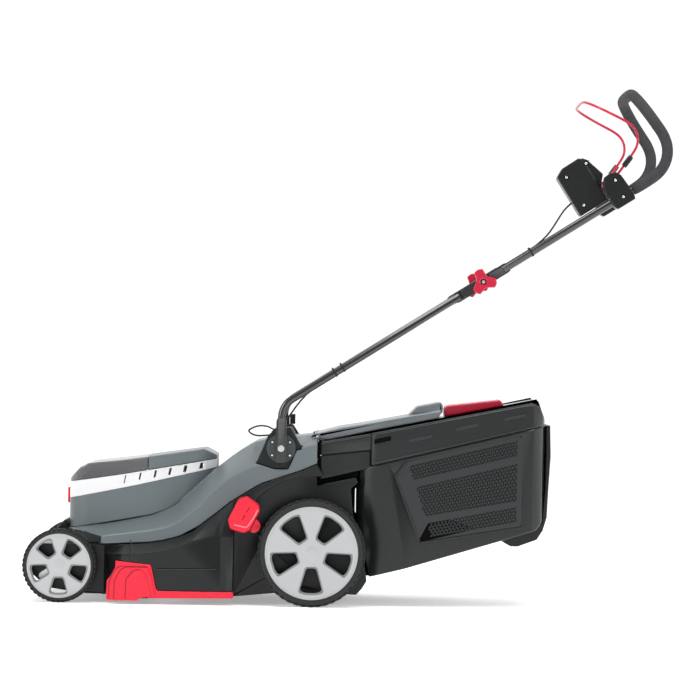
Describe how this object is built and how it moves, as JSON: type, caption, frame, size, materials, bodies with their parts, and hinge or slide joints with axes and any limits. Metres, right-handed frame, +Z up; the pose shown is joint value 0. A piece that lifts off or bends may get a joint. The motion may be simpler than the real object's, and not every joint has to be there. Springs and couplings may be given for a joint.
{
  "type": "push lawn mower",
  "caption": "Walk-behind battery rotary mower with a folding tube handle, bail switch, lever-set cutting height, lift-up battery flap and a rear grass box under a flap.",
  "frame": {"origin": "on the ground at the middle of the machine's length and width, cutting height at its lowest", "axes": "+X towards the operator (rear), +Y to the operator's right, +Z up"},
  "size_m": [1.3128, 0.44, 1.075],
  "materials": {
    "deck_black": "satin moulded",
    "handle_black": "satin moulded",
    "cover_grey": "satin moulded, fine grain",
    "flap_grey": "satin moulded",
    "vent_white": "satin moulded",
    "flap_smoke": "smoked translucent",
    "accent_red": "satin moulded",
    "accent_crimson": "satin moulded",
    "box_grey": "glossy moulded",
    "part_grey": "satin moulded",
    "motor_grey": "satin paint",
    "tyre": "block tread",
    "rim_silver": "silver moulded",
    "steel": "zinc plated",
    "tube_black": "gloss powder coat",
    "foam": "closed-cell foam",
    "cable": "matt sheath"
  },
  "bodies": {
    "chassis": {"deck": "deck_black", "grass_comb_left": "accent_red", "grass_comb_right": "accent_red", "top_cover": "cover_grey", "front_grip": "deck_black", "motor_hood": "cover_grey", "vent_band": "vent_white", "hood_rear_cap": "cover_grey", "battery_tray": "deck_black", "battery": "part_grey", "safety_key": "accent_red", "motor": "motor_grey", "bracket_left": "handle_black", "pivot_disc_left": "part_grey", "pivot_bolt_left": "steel", "bracket_right": "handle_black", "pivot_disc_right": "part_grey", "pivot_bolt_right": "steel", "handle_stop": "handle_black", "flap_rod": "steel", "cable_slack": "cable"},
    "battery_flap": {"battery_flap": "flap_smoke"},
    "flap_catch": {"flap_catch": "accent_red"},
    "rotor": {"motor_shaft": "steel", "blade_holder": "handle_black", "blade": "steel", "blade_bolt": "steel"},
    "rear_axle": {"rear_axle": "steel", "height_lever": "accent_red"},
    "front_axle": {"front_axle": "steel"},
    "link_rod": {"link_rod": "steel"},
    "wheel_rear_left": {"tyre_rear_left": "tyre", "rim_rear_left": "rim_silver"},
    "wheel_rear_right": {"tyre_rear_right": "tyre", "rim_rear_right": "rim_silver"},
    "wheel_front_left": {"tyre_front_left": "tyre", "rim_front_left": "rim_silver"},
    "wheel_front_right": {"tyre_front_right": "tyre", "rim_front_right": "rim_silver"},
    "lower_handle": {"lower_leg_left": "tube_black", "lower_leg_right": "tube_black", "knob_bolt_left": "steel", "knob_bolt_right": "steel", "cable_lower": "cable"},
    "upper_handle": {"upper_handle": "tube_black", "grip": "foam", "handle_clamp_left": "handle_black", "handle_clamp_right": "handle_black", "switch_box": "handle_black", "cable_upper": "cable"},
    "star_knob_left": {"star_knob_left": "accent_crimson"},
    "star_knob_right": {"star_knob_right": "accent_crimson"},
    "start_button": {"start_button": "accent_crimson"},
    "bail": {"bail": "accent_crimson"},
    "grass_box": {"basket": "box_grey", "box_lid": "box_grey", "box_handle": "accent_crimson", "box_rear_panel": "handle_black"},
    "rear_flap": {"rear_flap": "flap_grey"}
  },
  "joints": [
    {"name": "battery_flap_hinge", "type": "hinge", "parent": "chassis", "child": "battery_flap", "pos_m": [-0.407, 0, 0.298], "axis": [0, 1, 0], "range_deg": [0, 80]},
    {"name": "flap_catch_slide", "type": "slide", "parent": "chassis", "child": "flap_catch", "axis": [1, 0, 0], "range_m": [0, 0.0025], "stiffness_N_per_m": 400, "springref_m": -0.004},
    {"name": "rotor_spin", "type": "hinge", "parent": "chassis", "child": "rotor", "pos_m": [-0.365, 0, 0.06], "axis": [0, 0, 1], "continuous": true},
    {"name": "height_rear", "type": "hinge", "parent": "chassis", "child": "rear_axle", "pos_m": [-0.10222, 0, 0.08712], "axis": [0, 1, 0], "range_deg": [0, 66]},
    {"name": "height_front", "type": "hinge", "parent": "chassis", "child": "front_axle", "pos_m": [-0.61622, 0, 0.05212], "axis": [0, 1, 0], "range_deg": [0, 66]},
    {"name": "height_link", "type": "hinge", "parent": "rear_axle", "child": "link_rod", "pos_m": [-0.11361, 0.149, 0.12963], "axis": [0, 1, 0], "range_deg": [-66, 0]},
    {"name": "wheel_rear_left_spin", "type": "hinge", "parent": "rear_axle", "child": "wheel_rear_left", "pos_m": [-0.067, -0.199, 0.11], "axis": [0, 1, 0], "continuous": true},
    {"name": "wheel_rear_right_spin", "type": "hinge", "parent": "rear_axle", "child": "wheel_rear_right", "pos_m": [-0.067, 0.199, 0.11], "axis": [0, 1, 0], "continuous": true},
    {"name": "wheel_front_left_spin", "type": "hinge", "parent": "front_axle", "child": "wheel_front_left", "pos_m": [-0.581, -0.184, 0.075], "axis": [0, 1, 0], "continuous": true},
    {"name": "wheel_front_right_spin", "type": "hinge", "parent": "front_axle", "child": "wheel_front_right", "pos_m": [-0.581, 0.184, 0.075], "axis": [0, 1, 0], "continuous": true},
    {"name": "lower_handle_fold", "type": "hinge", "parent": "chassis", "child": "lower_handle", "pos_m": [-0.133, 0, 0.321], "axis": [0, -1, 0], "range_deg": [0, 45], "deforming": ["cable_lower"]},
    {"name": "upper_handle_fold", "type": "hinge", "parent": "lower_handle", "child": "upper_handle", "pos_m": [0.273, 0, 0.66765], "axis": [0, -1, 0], "range_deg": [0, 150]},
    {"name": "star_knob_left_turn", "type": "hinge", "parent": "upper_handle", "child": "star_knob_left", "pos_m": [0.273, -0.206, 0.66765], "axis": [0, 1, 0], "continuous": true},
    {"name": "star_knob_right_turn", "type": "hinge", "parent": "upper_handle", "child": "star_knob_right", "pos_m": [0.273, 0.206, 0.66765], "axis": [0, 1, 0], "continuous": true},
    {"name": "start_button_press", "type": "slide", "parent": "upper_handle", "child": "start_button", "axis": [0, -1, 0], "range_m": [0, 0.004], "stiffness_N_per_m": 300, "springref_m": -0.004},
    {"name": "bail_pull", "type": "hinge", "parent": "upper_handle", "child": "bail", "pos_m": [0.53627, 0, 0.88161], "axis": [0, 1, 0], "range_deg": [0, 27], "stiffness_Nm_per_rad": 1.2, "springref_deg": -40.11},
    {"name": "grass_box_lift", "type": "slide", "parent": "chassis", "child": "grass_box", "axis": [0.9796, 0, 0.2011], "range_m": [0, 0.4]},
    {"name": "rear_flap_lift", "type": "hinge", "parent": "chassis", "child": "rear_flap", "pos_m": [-0.06, 0, 0.345], "axis": [0, -1, 0], "range_deg": [0, 65], "stiffness_Nm_per_rad": 0.8, "springref_deg": -34.38}
  ],
  "couplings": [
    {"joint": "height_front", "follows": "height_rear", "ratio": 1},
    {"joint": "height_link", "follows": "height_rear", "ratio": -1}
  ]
}
